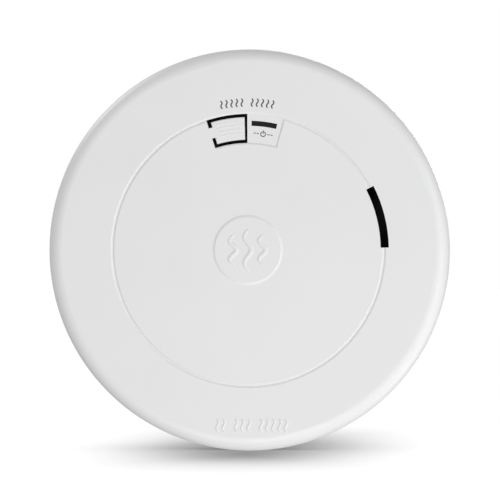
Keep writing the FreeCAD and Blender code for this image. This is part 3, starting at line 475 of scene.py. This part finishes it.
# Each flag, an oval card over the floor: its half width, half depth, height over the floor, and how
# far it is behind the point that the camera looks at, in mm. The flags make the soft shadow.
FLAGS = {
    "wide_flag": (34.0, 85.0, 48.0, 13.0),
    "long_flag": (21.5, 122.0, 68.0, 21.0),
}
CARD_SEGMENTS = 48
# The sun: its height above the horizon behind the object, its width across the sky and its power.
# It lights the floor alone, so that the floor looks white.
SUN_HEIGHT = 89.9
SUN_WIDTH = 70.0
SUN_POWER = 5.15


def point_at(thing, place, target):
    """Stands a lamp or a camera at a place, turned towards the target."""
    thing.location = place
    thing.rotation_mode = "QUATERNION"
    thing.rotation_quaternion = (Vector(target) - Vector(place)).to_track_quat("-Z", "Y")


def gathered(name, things):
    group = bpy.data.collections.new(name)
    for thing in things:
        group.objects.link(thing)
    return group


def only(light, name, lit, blockers):
    """The light falls on the first objects alone, and the second ones alone stop it."""
    light.light_linking.receiver_collection = gathered(name + "_falls_on", lit)
    light.light_linking.blocker_collection = gathered(name + "_stopped_by", blockers)


def lamp(name, kind, power):
    made = bpy.data.objects.new(name, bpy.data.lights.new(name, kind))
    made.data.energy = power
    scene.collection.objects.link(made)
    return made


def studio():
    """A white room: the camera sees pure white, and as a light it is less bright."""
    world = bpy.data.worlds.new("studio")
    scene.world = world
    world.use_nodes = True
    tree = world.node_tree
    seen = tree.nodes.new("ShaderNodeBackground")
    lighting = tree.nodes["Background"]
    path = tree.nodes.new("ShaderNodeLightPath")
    choose = tree.nodes.new("ShaderNodeMixShader")
    seen.inputs["Color"].default_value = (1, 1, 1, 1)
    seen.inputs["Strength"].default_value = 1.0
    lighting.inputs["Color"].default_value = (1, 1, 1, 1)
    lighting.inputs["Strength"].default_value = AMBIENT
    tree.links.new(path.outputs["Is Camera Ray"], choose.inputs["Fac"])
    tree.links.new(lighting.outputs["Background"], choose.inputs[1])
    tree.links.new(seen.outputs["Background"], choose.inputs[2])
    tree.links.new(choose.outputs["Shader"], tree.nodes["World Output"].inputs["Surface"])
    scene.view_settings.view_transform = "Standard"


def floor():
    """A plain floor, which throws no light back at the object, as in a light tent."""
    bpy.ops.mesh.primitive_plane_add(size=FLOOR_SIZE, location=(0, 0, cad_box[0].z))
    made = bpy.context.object
    made.name = "floor"
    made.data.materials.append(shade("floor_white", (FLOOR_GREY,) * 3, FLOOR_ROUGHNESS))
    made.visible_diffuse = False
    made.visible_glossy = False
    made.visible_transmission = False
    made.visible_shadow = False
    made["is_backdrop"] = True
    return made


def seen_by_shadows_only(card):
    card.visible_camera = False
    card.visible_diffuse = False
    card.visible_glossy = False
    card.visible_transmission = False


def flags():
    """Oval cards over the floor, which nobody sees and which cast the soft shadow there."""
    made = []
    for name, (half_width, half_depth, height, behind) in FLAGS.items():
        outline = bmesh.new()
        bmesh.ops.create_circle(outline, cap_ends=True, segments=CARD_SEGMENTS, radius=MM)
        mesh = bpy.data.meshes.new(name)
        outline.to_mesh(mesh)
        outline.free()
        card = bpy.data.objects.new(name, mesh)
        card.scale = (half_width, half_depth, 1)
        card.location = (CENTRE.x, AIM.y + behind * MM, cad_box[0].z + height * MM)
        scene.collection.objects.link(card)
        seen_by_shadows_only(card)
        card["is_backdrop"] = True
        made.append(card)
    return made


def lights(ground, cards):
    """Softboxes that light the object, and a sun that lights the floor past the cards."""
    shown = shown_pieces()
    for name, (place, size, power) in SOFTBOXES.items():
        box = lamp(name, "AREA", power)
        box.data.shape = "SQUARE"
        box.data.size = size
        point_at(box, place, AIM)
        only(box, name, shown, shown)
    sun = lamp("overhead", "SUN", SUN_POWER)
    sun.data.angle = math.radians(SUN_WIDTH)
    rise = math.radians(SUN_HEIGHT)
    point_at(sun, (0, math.cos(rise), math.sin(rise)), (0, 0, 0))
    only(sun, "overhead", [ground], cards)


def camera():
    made = bpy.data.objects.new("camera", bpy.data.cameras.new("camera"))
    made.data.lens = LENS
    made.data.sensor_width = SENSOR
    scene.collection.objects.link(made)
    scene.camera = made
    turn = math.radians(CAMERA_AZIMUTH)
    back = Vector((math.sin(turn), -math.cos(turn), 0))
    point_at(made, AIM + VIEW_DISTANCE * back, AIM)


finish_parts()
ink = printed_ink()
emblem_wisps()
arc_caption(ink)
window_symbol(ink)
tab_ribs()
rim_line()
label_rules(ink)
studio()
lights(floor(), flags())
camera()
